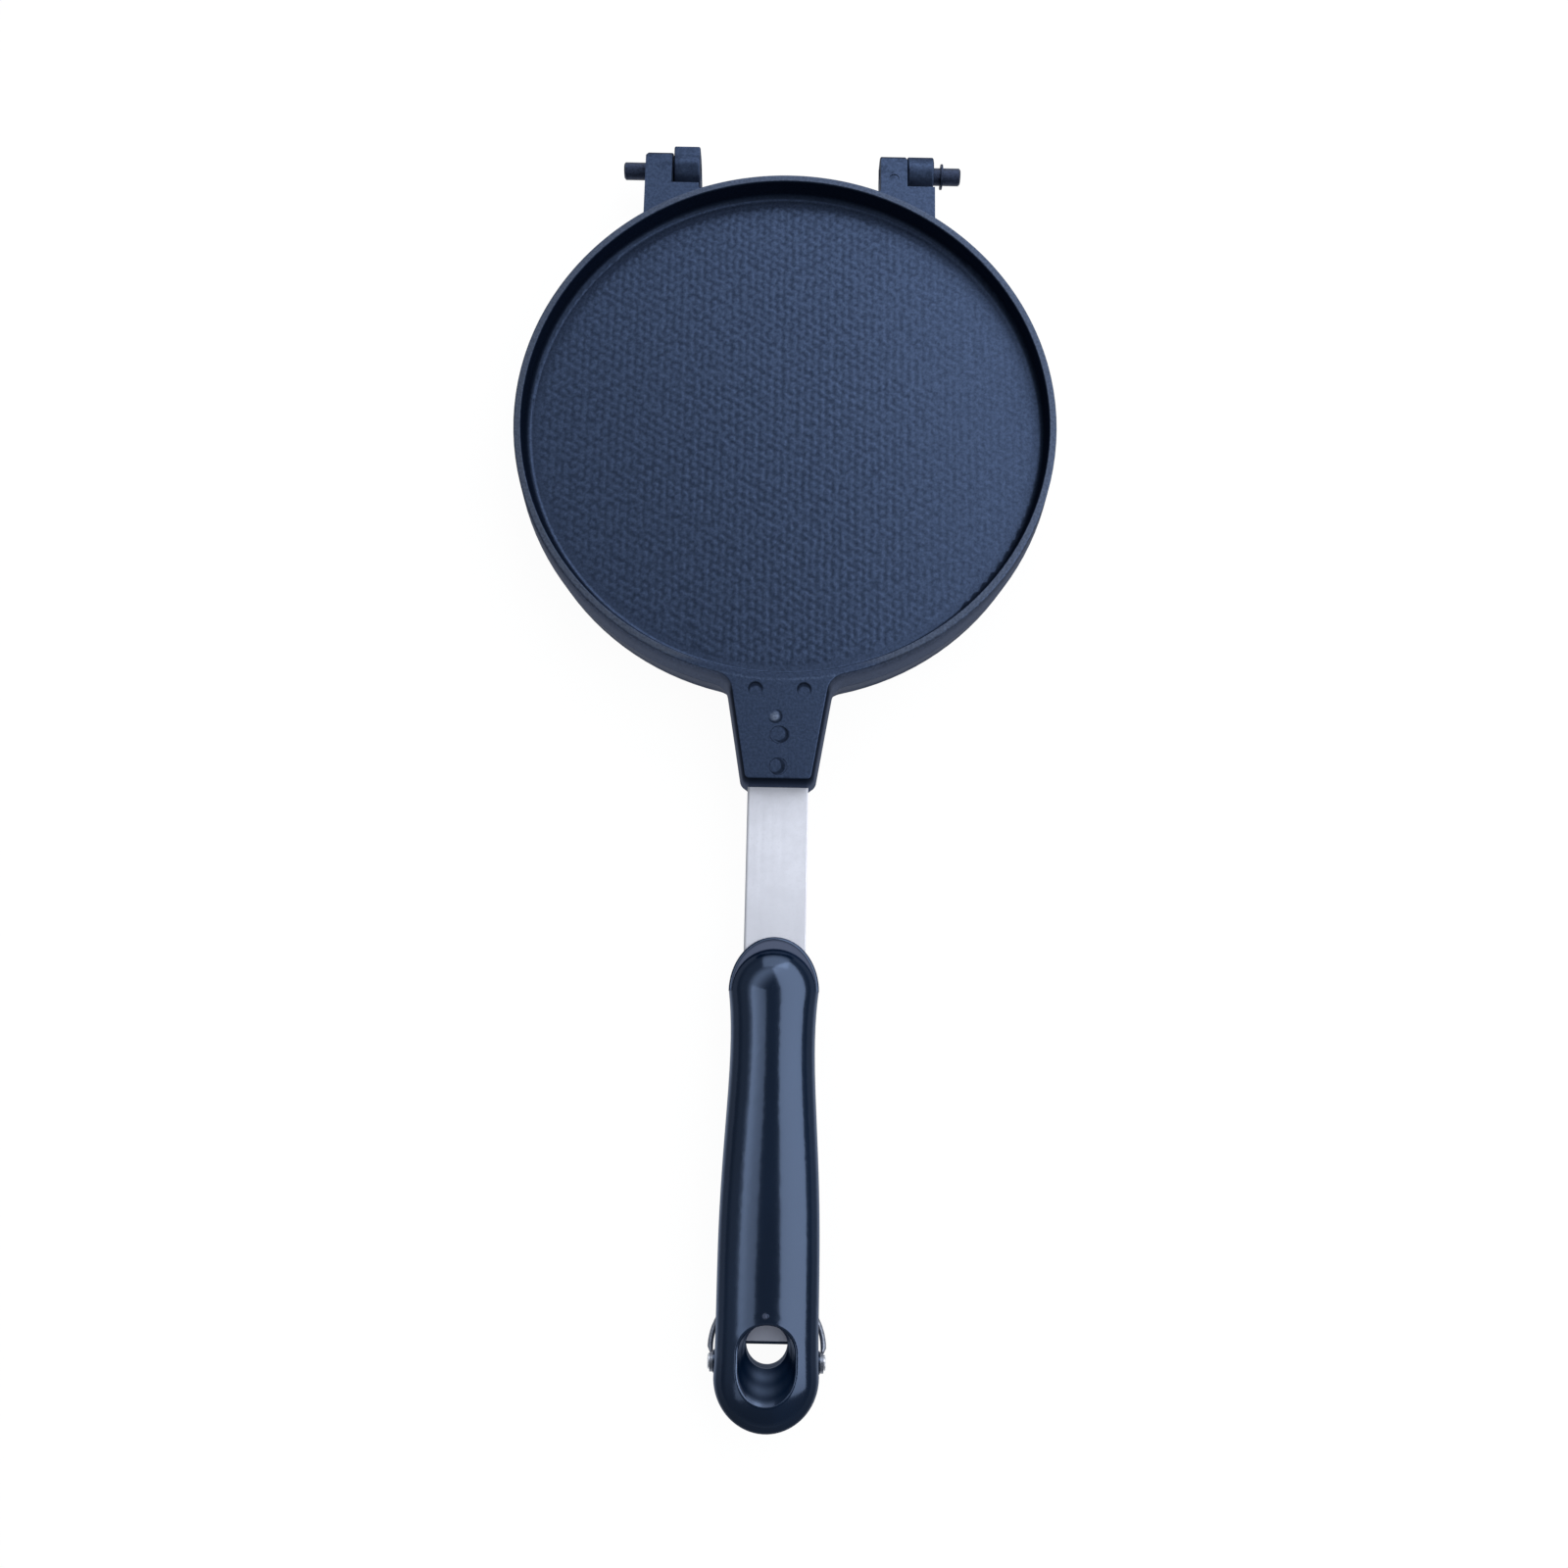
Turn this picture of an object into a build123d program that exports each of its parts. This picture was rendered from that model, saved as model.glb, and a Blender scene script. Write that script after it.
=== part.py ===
from build123d import *
from math import asin, cos, hypot, radians, sin, tan
import os

os.makedirs("parts", exist_ok=True)

# A double-sided egg pan: two identical round castings hinged at the back, each riveted to a flat steel
# strap with a moulded handle, and a wire bail that swings round the handle ends to hold the pan shut.
# The pan lies closed on its lower rim. X is across, Y runs from the handles to the hinge, Z is up.
# The castings, straps and handles of the lower half are those of the upper half turned over.

# Castings
plate_radius = 94.0  # outside wall at the parting plane
half_height = 13.0  # from the parting plane to the rim that stands on the hob
parting_gap = 0.2  # between the two sealing lands
wall_draft = 1.0  # the outside wall leans in by this much at the rim
rim_land = 2.5  # flat width of the rim
rim_edge = 0.5  # rounding of the rim
recess_depth = 8.0  # outer face below the rim
recess_draft = 0.6
recess_fillet = 2.2
cavity_depth = 2.5  # half of the cooking space
cavity_slope = 2.5
sealing_land = 7.0

# Hinge
hinge_reach = 8.5  # from the plate's wall to the hinge axis
pin_radius = 3.0
pin_running_clearance = 0.05
pin_press_clearance = 0.01
pin_end_chamfer = 0.5
pin_recess = 0.3  # inner end of a pin inside its lug
left_pin_proud = 8.5  # outer ends of the pins beyond the outer lugs
right_pin_proud = 10.0
lug_wall = 3.4  # metal round the pin
lug_width = 9.5
lug_gap = 0.4
inner_lug_start = 32.7  # from the centre line to the inner lugs
lug_top = 8.5  # flat of the lugs above the parting plane
lug_slant = 40.0  # degrees round the lug at which its flat rolls over into the round
lug_blend = 3.0
lug_edge = 0.6
lug_mark_radius = 1.8  # ejector mark on the flat of the inner lug
lug_mark_depth = 0.25
heel_drop = 5.7  # square heel of the inner lugs
heel_clearance = 1.4  # heel to the other casting's ledge
clip_offset = 2.8  # from the outer lug to the clip
clip_thickness = 0.7
clip_width = 1.9  # radial width of the clip
clip_opening = 3.2
clip_clearance = 0.05
clip_groove_depth = 0.6

# Tangs, straps and their rivets
tang_length = 34.0  # beyond the plate's wall
tang_root_half = 17.9
tang_end_half = 12.2
tang_draft = 8.0  # degrees
tang_corner = 3.4
tang_blend = 6.5
strap_width = 20.0
strap_thickness = 2.5
strap_offset = 1.5  # from the parting plane to the strap
strap_overlap = 31.0  # strap inside the tang
strap_bare = 48.8  # strap between the tang and the handle
strap_clearance = 0.05
strap_corner = 1.5
strap_edge = 0.3
rivet_radius = 2.5
rivet_clearance = 0.05
rivet_end_inset = 5.8  # outer rivet from the end of the tang
rivet_pitch = 10.6
rivet_head_radius = 4.2
rivet_head_height = 1.0
rivet_upset_radius = 2.8
rivet_upset_height = 0.4  # upset end, sunk in a seat in the tang
rivet_seat_radius = 2.95
rivet_seat_depth = 0.5
ejector_mark_radius = 2.2
ejector_mark_depth = 0.4
ejector_mark_offset = 8.0
ejector_mark_inset = 2.2

# Handles
handle_gap = 0.3  # between the two handles
handle_length = 150.2
handle_side = 1.2  # straight side at the parting plane
handle_crown = 10.0  # rise of the rounded back above the straight side
nose_half = 14.5
nose_lip = 2.8  # flat lip in front of the rounded back, over the strap
nose_lip_height = 5.0
nose_lip_edge = 0.8
waist_half = 13.6
waist_at = 40.0  # from the nose
shoulder_half = 15.3
shoulder_at = 74.5
flank_half = 15.9
flank_at = 108.5
tail_half = 16.2
hole_half = 6.4
hole_inset = 25.35  # from the handle's end to the middle of the hanging hole
hole_neck = 3.6  # straight part of the hole above the parting plane
hole_stretch = 0.3  # the neck is this much longer than wide
mouth_width = 19.2
mouth_length = 25.0
mouth_shift = 5.0  # the mouth widens towards the handle's end
mouth_edge = 0.8  # rounding of the mouth's edge
strap_in_hole = 4.7  # the strap's end lies across part of the hole
strap_ledge = 1.3  # plastic under the strap's end

# Bail and its rivets
bail_wire_radius = 0.9
bail_inset = 19.6  # from the handle's end to the pivot
bail_drop = 3.5  # pivot below the parting plane
bail_half = 17.6  # half the width of the hoop
bail_straight = 4.2
bail_reach = 21.9  # from the pivot to the middle of the wire
bail_seat_depth = 0.8
bail_seat_clearance = 0.1
bail_seat_arc = 90.0  # degrees of the hoop that lie in the seat
bail_pad_radius = 3.4
bail_pad_half = 16.5
bail_pad_depth = 4.0
bail_eye_radius = 3.1
bail_eye_thickness = 1.0
bail_eye_clearance = 0.1
bail_neck_width = 2.6
bail_neck_inset = 0.05  # the neck ends inside the flats of the eye
bail_neck_start = 0.7  # share of the eye's radius at which the wire starts to flatten
bail_rivet_radius = 1.4
bail_rivet_clearance = 0.05
bail_rivet_grip = 6.0
bail_rivet_head_radius = 2.3
bail_rivet_head_height = 0.6
nib_radius = 0.7
nib_height = 0.5
nib_inset = 35.5

# Levels and places worked out from the sizes above
parting = half_height
rim_top = 2 * half_height
casting_face = parting + parting_gap / 2
recess_floor = rim_top - recess_depth
recess_top_radius = plate_radius - wall_draft - rim_land
cavity_radius = plate_radius - sealing_land
hinge_y = plate_radius + hinge_reach
knuckle_radius = pin_radius + lug_wall
outer_lug_start = inner_lug_start + lug_width + lug_gap
outer_lug_end = outer_lug_start + lug_width
web_width = outer_lug_end - inner_lug_start
web_middle = (outer_lug_end + inner_lug_start) / 2
ledge_y = hinge_y - hypot(knuckle_radius, heel_drop) - heel_clearance
clip_x = outer_lug_end + clip_offset
tang_end_y = -plate_radius - tang_length
tang_inner_half = tang_root_half + tang_blend * (tang_root_half - tang_end_half) / tang_length
strap_low = parting + strap_offset
strap_high = strap_low + strap_thickness
strap_start_y = tang_end_y + strap_overlap
outer_rivet_y = tang_end_y + rivet_end_inset
inner_rivet_y = outer_rivet_y + rivet_pitch
nose_y = tang_end_y - strap_bare
tail_y = nose_y - handle_length
handle_face = parting + handle_gap / 2
crown_base = handle_face + handle_side
crown_top = crown_base + handle_crown
dome_y = nose_y - nose_lip - nose_half
hole_y = tail_y + hole_inset
mouth_y = hole_y - mouth_shift
strap_end_y = hole_y + hole_half - strap_in_hole
bail_y = tail_y + bail_inset
bail_z = parting - bail_drop
bail_eye_face = bail_pad_half + bail_eye_clearance
bail_rest_z = rim_top - crown_top + bail_seat_depth - bail_seat_clearance - bail_wire_radius
bail_rest = asin((bail_z - bail_rest_z) / bail_reach)
bail_plane = Plane(
    origin=(0, bail_y, bail_z),
    x_dir=(1, 0, 0),
    z_dir=(0, sin(bail_rest), cos(bail_rest)),
)
turned_over = Axis((0, 0, parting), (0, 1, 0))


def lug_profile(with_heel):
    # Side view of a hinge lug: round over the pin, flat on top, with a square heel on the inner lugs
    slant = radians(lug_slant)
    tangent_y = hinge_y + knuckle_radius * cos(slant)
    tangent_z = parting + knuckle_radius * sin(slant)
    crest_y = tangent_y - (parting + lug_top - tangent_z) * tan(slant)
    with BuildSketch(mode=Mode.PRIVATE) as profile:
        with Locations((hinge_y, parting)):
            Circle(knuckle_radius)
        with BuildLine():
            Polyline(
                (plate_radius - lug_wall, casting_face),
                (hinge_y, casting_face),
                (tangent_y, tangent_z),
                (crest_y, parting + lug_top),
                (plate_radius - lug_wall, parting + lug_top),
                close=True,
            )
        make_face()
        if with_heel:
            with Locations((hinge_y, parting)):
                Rectangle(knuckle_radius, heel_drop, align=(Align.MIN, Align.MAX))
    return profile.sketch


def is_wall_corner(edge):
    # Upright edges where a tang or a web meets the plate's wall
    middle = edge.center()
    on_wall = abs(hypot(middle.X, middle.Y) - plate_radius) < rim_land
    return on_wall and abs(middle.Y) > plate_radius / 2 and edge.bounding_box().size.Z > lug_top / 2


def is_lug_edge(edge):
    # Outlines of the lugs' flat sides, beyond the ledges
    box = edge.bounding_box()
    return box.size.X < lug_edge / 2 and box.min.Y > ledge_y + lug_edge and box.max.Z - box.min.Z < lug_width


# Upper casting, made where it lies with the pan closed
with BuildPart() as upper_pan:
    # Outside of the plate
    with BuildSketch(Plane.XZ):
        with BuildLine():
            Polyline(
                (0, casting_face),
                (plate_radius, casting_face),
                (plate_radius - wall_draft, rim_top),
                (0, rim_top),
                close=True,
            )
        make_face()
    revolve(axis=Axis.Z)

    # Tang, drafted on its sides and its end
    with BuildSketch(Plane.XY.offset(casting_face)):
        with BuildLine():
            Polyline(
                (-tang_inner_half, -plate_radius / 2),
                (-tang_inner_half, -plate_radius + tang_blend),
                (-tang_end_half, tang_end_y),
                (tang_end_half, tang_end_y),
                (tang_inner_half, -plate_radius + tang_blend),
                (tang_inner_half, -plate_radius / 2),
                close=True,
            )
        tang_face = make_face()
        fillet(tang_face.vertices().group_by(Axis.Y)[0], tang_corner)
    extrude(amount=rim_top - casting_face, taper=tang_draft)

    # Webs behind the lugs, one each side
    with BuildSketch(Plane.XY.offset(casting_face)):
        with Locations((-web_middle, ledge_y), (web_middle, ledge_y)):
            Rectangle(web_width, ledge_y - plate_radius / 2, align=(Align.CENTER, Align.MAX))
    extrude(amount=parting + lug_top - casting_face)

    # Outer lug on the left, inner lug on the right
    with BuildSketch(Plane.YZ.offset(-outer_lug_end)):
        add(lug_profile(with_heel=False))
    extrude(amount=lug_width)
    with BuildSketch(Plane.YZ.offset(inner_lug_start)):
        add(lug_profile(with_heel=True))
    extrude(amount=lug_width)

    # Blends of the tang and the webs into the plate's wall
    fillet(upper_pan.edges().filter_by(is_wall_corner).filter_by(lambda edge: edge.center().Y < 0), tang_blend)
    fillet(upper_pan.edges().filter_by(is_wall_corner).filter_by(lambda edge: edge.center().Y > 0), lug_blend)

    # Recess of the outer face, and the cooking cavity
    with BuildSketch(Plane.XZ):
        with BuildLine():
            Polyline(
                (0, recess_floor),
                (recess_top_radius - recess_draft, recess_floor),
                (recess_top_radius, rim_top),
                (0, rim_top),
                close=True,
            )
        recess_face = make_face()
        fillet(recess_face.vertices().group_by(Axis.Y)[0].sort_by(Axis.X)[-1], recess_fillet)
    revolve(axis=Axis.Z, mode=Mode.SUBTRACT)
    with BuildSketch(Plane.XZ):
        with BuildLine():
            Polyline(
                (0, casting_face),
                (cavity_radius, casting_face),
                (cavity_radius - cavity_slope, casting_face + cavity_depth),
                (0, casting_face + cavity_depth),
                close=True,
            )
        make_face()
    revolve(axis=Axis.Z, mode=Mode.SUBTRACT)

    # Soft edges along the rim and the lugs
    fillet(upper_pan.faces().filter_by(Axis.Z).sort_by(Axis.Z)[-1].edges(), rim_edge)
    fillet(upper_pan.edges().filter_by(is_lug_edge), lug_edge)

    # Channel for the strap in the tang's inner side
    with BuildSketch(Plane.XY.offset(casting_face)):
        with Locations((0, strap_start_y + strap_clearance)):
            Rectangle(
                strap_width + 2 * strap_clearance,
                strap_overlap + tang_length,
                align=(Align.CENTER, Align.MAX),
            )
    extrude(amount=strap_high + strap_clearance - casting_face, mode=Mode.SUBTRACT)

    # Running bore of the outer lug, tight bore of the inner lug, rivet holes and ejector marks
    with Locations(Plane(origin=(-outer_lug_end, hinge_y, parting), z_dir=(-1, 0, 0))):
        Hole(pin_radius + pin_running_clearance, depth=lug_width)
    with Locations(Plane(origin=(inner_lug_start, hinge_y, parting), z_dir=(-1, 0, 0))):
        Hole(pin_radius + pin_press_clearance, depth=lug_width)
    with Locations((0, inner_rivet_y, rim_top), (0, outer_rivet_y, rim_top)):
        Hole(rivet_radius + rivet_clearance, depth=half_height)
        Hole(rivet_seat_radius, depth=rivet_seat_depth)
    mark_y = -plate_radius - ejector_mark_inset
    with Locations((-ejector_mark_offset, mark_y, rim_top), (ejector_mark_offset, mark_y, rim_top)):
        Hole(ejector_mark_radius, depth=ejector_mark_depth)
    with Locations((inner_lug_start + lug_width / 2, ledge_y + lug_blend, parting + lug_top)):
        Hole(lug_mark_radius, depth=lug_mark_depth)
upper_pan.part.label = "upper_pan"

with BuildPart() as lower_pan:
    add(upper_pan.part.rotate(turned_over, 180))
lower_pan.part.label = "lower_pan"

# Hinge pins, each tight in an inner lug and running in the outer lug of the other casting
with BuildPart() as left_hinge_pin:
    with BuildSketch(Plane.YZ.offset(-inner_lug_start - pin_recess)):
        with Locations((hinge_y, parting)):
            Circle(pin_radius)
    extrude(amount=-(web_width - pin_recess + left_pin_proud))
    chamfer(left_hinge_pin.edges().filter_by(GeomType.CIRCLE), pin_end_chamfer)
left_hinge_pin.part.label = "left_hinge_pin"

with BuildPart() as right_hinge_pin:
    with BuildSketch(Plane.YZ.offset(inner_lug_start + pin_recess)):
        with Locations((hinge_y, parting)):
            Circle(pin_radius)
    extrude(amount=web_width - pin_recess + right_pin_proud)
    chamfer(right_hinge_pin.edges().filter_by(GeomType.CIRCLE), pin_end_chamfer)
    with BuildSketch(Plane.YZ.offset(clip_x - clip_clearance)):
        with Locations((hinge_y, parting)):
            Circle(2 * pin_radius)
            Circle(pin_radius - clip_groove_depth, mode=Mode.SUBTRACT)
    extrude(amount=clip_thickness + 2 * clip_clearance, mode=Mode.SUBTRACT)
right_hinge_pin.part.label = "right_hinge_pin"

# Retaining clip in the groove of the right pin, open on its lower side
with BuildPart() as pin_clip:
    clip_inner = pin_radius - clip_groove_depth + clip_clearance
    with BuildSketch(Plane.YZ.offset(clip_x)):
        with Locations((hinge_y, parting)):
            Circle(clip_inner + clip_width)
            Circle(clip_inner, mode=Mode.SUBTRACT)
            Rectangle(clip_opening, 2 * plate_radius, align=(Align.CENTER, Align.MAX), mode=Mode.SUBTRACT)
    extrude(amount=clip_thickness)
pin_clip.part.label = "pin_clip"

# Straps
with BuildPart() as upper_strap:
    with BuildSketch(Plane.XY.offset(strap_low)):
        with Locations((0, strap_start_y)):
            Rectangle(strap_width, strap_start_y - strap_end_y, align=(Align.CENTER, Align.MAX))
    extrude(amount=strap_thickness)
    fillet(upper_strap.edges().filter_by(Axis.Z).group_by(Axis.Y)[-1], strap_corner)
    fillet(upper_strap.edges().filter_by(Axis.Y), strap_edge)
    with Locations((0, inner_rivet_y, strap_high), (0, outer_rivet_y, strap_high)):
        Hole(rivet_radius + rivet_clearance, depth=strap_thickness)
upper_strap.part.label = "upper_strap"

with BuildPart() as lower_strap:
    add(upper_strap.part.rotate(turned_over, 180))
lower_strap.part.label = "lower_strap"


def strap_rivet(y):
    # Head under the strap, end upset into its seat in the tang
    seat_level = rim_top - rivet_seat_depth
    with BuildPart() as rivet:
        with BuildSketch(Plane.XZ.offset(-y)):
            with BuildLine():
                Polyline(
                    (0, strap_low - rivet_head_height),
                    (rivet_head_radius, strap_low - rivet_head_height),
                    (rivet_head_radius, strap_low),
                    (rivet_radius, strap_low),
                    (rivet_radius, seat_level),
                    (rivet_upset_radius, seat_level),
                    (rivet_upset_radius, seat_level + rivet_upset_height),
                    (0, seat_level + rivet_upset_height),
                    close=True,
                )
            make_face()
        revolve(axis=Axis((0, y, 0), (0, 0, 1)))
    return rivet.part


def handle_section(half_width, y):
    # Half oval on a short straight side, across the handle
    with BuildSketch(Plane.XZ.offset(-y)) as section:
        with BuildLine():
            Line((half_width, handle_face), (half_width, crown_base))
            EllipticalCenterArc((0, crown_base), half_width, handle_crown, 0, arc_size=180)
            Line((-half_width, crown_base), (-half_width, handle_face))
            Line((-half_width, handle_face), (half_width, handle_face))
        make_face()
    return section.sketch


def handle_quarter(half_width, y):
    # Half of that section, to be turned about an upright axis for the round nose and tail
    with BuildSketch(Plane.XZ.offset(-y)) as quarter:
        with BuildLine():
            Line((0, handle_face), (half_width, handle_face))
            Line((half_width, handle_face), (half_width, crown_base))
            EllipticalCenterArc((0, crown_base), half_width, handle_crown, 0, arc_size=90)
            Line((0, crown_top), (0, handle_face))
        make_face()
    return quarter.sketch


def is_mouth_edge(edge):
    # Edge of the hanging hole's mouth on the handle's rounded back
    box = edge.bounding_box()
    inside = max(-box.min.X, box.max.X) < (mouth_width + mouth_edge) / 2
    return inside and abs(edge.center().Y - mouth_y) < (mouth_length + mouth_edge) / 2 and box.min.Z > strap_high + mouth_edge


# Lip in front of the handle's rounded back, half oval seen from above
with BuildPart() as lip:
    with BuildSketch(Plane.XY.offset(handle_face)):
        with Locations((0, dome_y)):
            Ellipse(nose_half, nose_half + nose_lip)
            Rectangle(2 * nose_half, 2 * nose_half, align=(Align.CENTER, Align.MAX), mode=Mode.SUBTRACT)
    extrude(amount=nose_lip_height)
    fillet(lip.edges().filter_by(GeomType.ELLIPSE).sort_by(Axis.Z)[-1], nose_lip_edge)
    add(handle_section(nose_half, dome_y))
    extrude(amount=-nose_half - nose_lip, mode=Mode.INTERSECT)

# Handle as moulded round the end of the upper strap
with BuildPart() as handle:
    loft(
        [
            handle_section(nose_half, dome_y),
            handle_section(waist_half, nose_y - waist_at),
            handle_section(shoulder_half, nose_y - shoulder_at),
            handle_section(flank_half, nose_y - flank_at),
            handle_section(tail_half, tail_y + tail_half),
        ]
    )
    add(handle_quarter(nose_half, dome_y))
    revolve(axis=Axis((0, dome_y, 0), (0, 0, 1)), revolution_arc=180)
    add(handle_quarter(tail_half, tail_y + tail_half))
    revolve(axis=Axis((0, tail_y + tail_half, 0), (0, 0, -1)), revolution_arc=180)
    add(lip.part)

    # Pocket of the strap
    with BuildSketch(Plane.XY.offset(strap_low - strap_clearance)):
        with Locations((0, strap_end_y - strap_clearance)):
            Rectangle(
                strap_width + 2 * strap_clearance,
                nose_y - strap_end_y + strap_bare,
                align=(Align.CENTER, Align.MIN),
            )
    extrude(amount=strap_thickness + 2 * strap_clearance, mode=Mode.SUBTRACT)

    # Hanging hole, open above the strap and cut short below it by the ledge under the strap's end
    with BuildSketch(Plane.XY.offset(strap_low)):
        with Locations((0, hole_y)):
            Circle(hole_half)
    extrude(amount=crown_top - strap_low, mode=Mode.SUBTRACT)
    with BuildSketch(Plane.XY.offset(handle_face)):
        with Locations((0, hole_y)):
            Circle(hole_half)
        with Locations((0, strap_end_y - strap_ledge)):
            Rectangle(mouth_width, mouth_length, align=(Align.CENTER, Align.MIN), mode=Mode.SUBTRACT)
    extrude(amount=strap_low - handle_face, mode=Mode.SUBTRACT)

    # Oblong mouth that funnels into the hole
    with BuildSketch(Plane.XY.offset(parting + hole_neck)):
        with Locations((0, hole_y)):
            SlotOverall(2 * hole_half + hole_stretch, 2 * hole_half, rotation=90)
    with BuildSketch(Plane.XY.offset(crown_top)):
        with Locations((0, mouth_y)):
            SlotOverall(mouth_length, mouth_width, rotation=90)
    loft(mode=Mode.SUBTRACT)
    fillet(handle.edges().filter_by(is_mouth_edge), mouth_edge)

# Upper handle, with the small nib that the bail swings past
with BuildPart() as upper_handle:
    add(handle.part)
    with Locations((0, tail_y + nib_inset, crown_top)):
        Cylinder(nib_radius, 2 * nib_height)
    fillet(upper_handle.edges().filter_by(GeomType.CIRCLE).sort_by(Axis.Z)[-1], nib_height / 2)
upper_handle.part.label = "upper_handle"

# Lower handle, with the pads, rivet holes and seat of the bail
with BuildPart() as lower_handle:
    add(handle.part.rotate(turned_over, 180))
    for side in (1, -1):
        with BuildSketch(Plane.YZ.offset(side * bail_pad_half)):
            with Locations((bail_y, bail_z)):
                Circle(bail_pad_radius)
            with Locations((bail_y, 2 * parting - handle_face)):
                Rectangle(4 * bail_pad_radius, bail_pad_radius, align=(Align.CENTER, Align.MIN), mode=Mode.SUBTRACT)
        extrude(amount=-side * bail_pad_depth)
        with Locations(Plane(origin=(side * bail_pad_half, bail_y, bail_z), z_dir=(side, 0, 0))):
            Hole(bail_rivet_radius + pin_press_clearance, depth=bail_rivet_grip)
    with BuildLine(bail_plane) as seat_line:
        EllipticalCenterArc(
            (0, bail_straight),
            bail_half,
            bail_reach - bail_straight,
            90 - bail_seat_arc / 2,
            arc_size=bail_seat_arc,
        )
    with BuildSketch(Plane(origin=seat_line.line @ 0, z_dir=seat_line.line % 0)):
        Circle(bail_wire_radius + bail_seat_clearance)
    sweep(mode=Mode.SUBTRACT)
lower_handle.part.label = "lower_handle"

# Bail: a wire hoop with flattened eyes, folded under the lower handle
with BuildPart() as bail:
    with BuildLine(bail_plane) as hoop:
        EllipticalCenterArc((0, bail_straight), bail_half, bail_reach - bail_straight, 0, arc_size=180)
    with BuildSketch(Plane(origin=hoop.line @ 0, z_dir=hoop.line % 0)):
        Circle(bail_wire_radius)
    sweep()
    for side in (1, -1):
        eye_middle = bail_eye_face + bail_eye_thickness / 2
        wire_end = bail_plane.from_local_coords((side * bail_half, bail_straight, 0))
        flat_end = bail_plane.from_local_coords((side * eye_middle, bail_eye_radius * bail_neck_start, 0))
        with BuildSketch(Plane(origin=wire_end, x_dir=(1, 0, 0), z_dir=bail_plane.y_dir)):
            Circle(bail_wire_radius)
        with BuildSketch(Plane(origin=flat_end, x_dir=(1, 0, 0), z_dir=bail_plane.y_dir)):
            Ellipse(bail_eye_thickness / 2 - bail_neck_inset, bail_neck_width / 2)
        loft()
        with BuildSketch(Plane.YZ.offset(side * bail_eye_face)):
            with Locations((bail_y, bail_z)):
                Circle(bail_eye_radius)
        extrude(amount=side * bail_eye_thickness)
        with Locations(Plane(origin=(side * eye_middle, bail_y, bail_z), z_dir=(side, 0, 0))):
            Hole(bail_rivet_radius + bail_rivet_clearance, depth=bail_wire_radius)
bail.part.label = "bail"


def bail_rivet(side):
    # Stub rivet: shank in the lower handle, low head outside the eye of the bail
    head_face = bail_eye_face + bail_eye_thickness + bail_rivet_clearance
    shank_length = head_face - bail_pad_half + bail_rivet_grip
    with BuildPart() as rivet:
        with BuildSketch(Plane.YZ.offset(side * head_face)):
            with Locations((bail_y, bail_z)):
                Circle(bail_rivet_radius)
        extrude(amount=-side * shank_length)
        with BuildSketch(Plane.YZ.offset(side * head_face)):
            with Locations((bail_y, bail_z)):
                Circle(bail_rivet_head_radius)
        extrude(amount=side * bail_rivet_head_height)
        head_edge = rivet.edges().filter_by(GeomType.CIRCLE).sort_by(Axis.X)[-1 if side > 0 else 0]
        fillet(head_edge, bail_rivet_head_height / 2)
    return rivet.part


pieces = {
    "upper_pan": upper_pan.part,
    "lower_pan": lower_pan.part,
    "left_hinge_pin": left_hinge_pin.part,
    "right_hinge_pin": right_hinge_pin.part,
    "pin_clip": pin_clip.part,
    "upper_strap": upper_strap.part,
    "lower_strap": lower_strap.part,
    "upper_inner_rivet": strap_rivet(inner_rivet_y),
    "upper_outer_rivet": strap_rivet(outer_rivet_y),
    "lower_inner_rivet": strap_rivet(inner_rivet_y).rotate(turned_over, 180),
    "lower_outer_rivet": strap_rivet(outer_rivet_y).rotate(turned_over, 180),
    "upper_handle": upper_handle.part,
    "lower_handle": lower_handle.part,
    "bail": bail.part,
    "bail_rivet_right": bail_rivet(1),
    "bail_rivet_left": bail_rivet(-1),
}
for name, piece in pieces.items():
    piece.label = name
    export_step(piece, f"parts/{name}.step")
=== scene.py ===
import math

import bpy
from mathutils import Matrix, Vector


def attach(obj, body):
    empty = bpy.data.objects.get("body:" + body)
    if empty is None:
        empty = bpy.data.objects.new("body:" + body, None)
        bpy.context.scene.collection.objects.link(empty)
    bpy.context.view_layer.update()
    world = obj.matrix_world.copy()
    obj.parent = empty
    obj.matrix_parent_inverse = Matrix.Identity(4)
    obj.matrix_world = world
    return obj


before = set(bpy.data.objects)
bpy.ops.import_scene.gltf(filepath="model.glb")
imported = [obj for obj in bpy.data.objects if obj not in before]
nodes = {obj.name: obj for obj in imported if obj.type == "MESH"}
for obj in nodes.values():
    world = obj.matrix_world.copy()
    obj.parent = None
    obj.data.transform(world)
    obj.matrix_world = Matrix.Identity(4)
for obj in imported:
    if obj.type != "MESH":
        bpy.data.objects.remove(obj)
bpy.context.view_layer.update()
mm = 0.001
parting = 13.0 * mm  # height of the plane between the two halves
print("frame loaded:", len(nodes), "nodes")


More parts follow.
